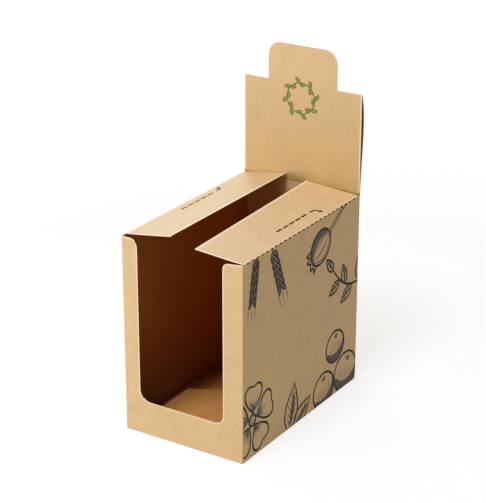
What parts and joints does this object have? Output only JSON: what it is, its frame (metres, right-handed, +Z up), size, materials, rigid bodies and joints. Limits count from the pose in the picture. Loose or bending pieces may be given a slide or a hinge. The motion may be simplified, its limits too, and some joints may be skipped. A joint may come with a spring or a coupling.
{
  "type": "counter display box",
  "caption": "Folded kraft board display box with a U-shaped front cut-out, hinged top flaps, a snap-lock bottom and a fold-over header with a raised tab.",
  "frame": {"origin": "centre of the overall footprint, on the surface that the box stands on", "axes": "+X to the right seen from the front, +Y from the open front to the header, +Z up"},
  "size_m": [0.1, 0.163, 0.256],
  "materials": {
    "kraft_board": "uncoated kraft board, matt, with fine fibres"
  },
  "bodies": {
    "carton": {"carton_body": "kraft_board"},
    "left_flap": {"left_top_flap": "kraft_board"},
    "right_flap": {"right_top_flap": "kraft_board"}
  },
  "joints": [
    {"name": "left_flap_fold", "type": "hinge", "parent": "carton", "child": "left_flap", "pos_m": [-0.05, 0, 0.15], "axis": [0, -1, 0], "range_deg": [-9, 251]},
    {"name": "right_flap_fold", "type": "hinge", "parent": "carton", "child": "right_flap", "pos_m": [0.05, 0, 0.15], "axis": [0, 1, 0], "range_deg": [-4.2, 255]}
  ]
}
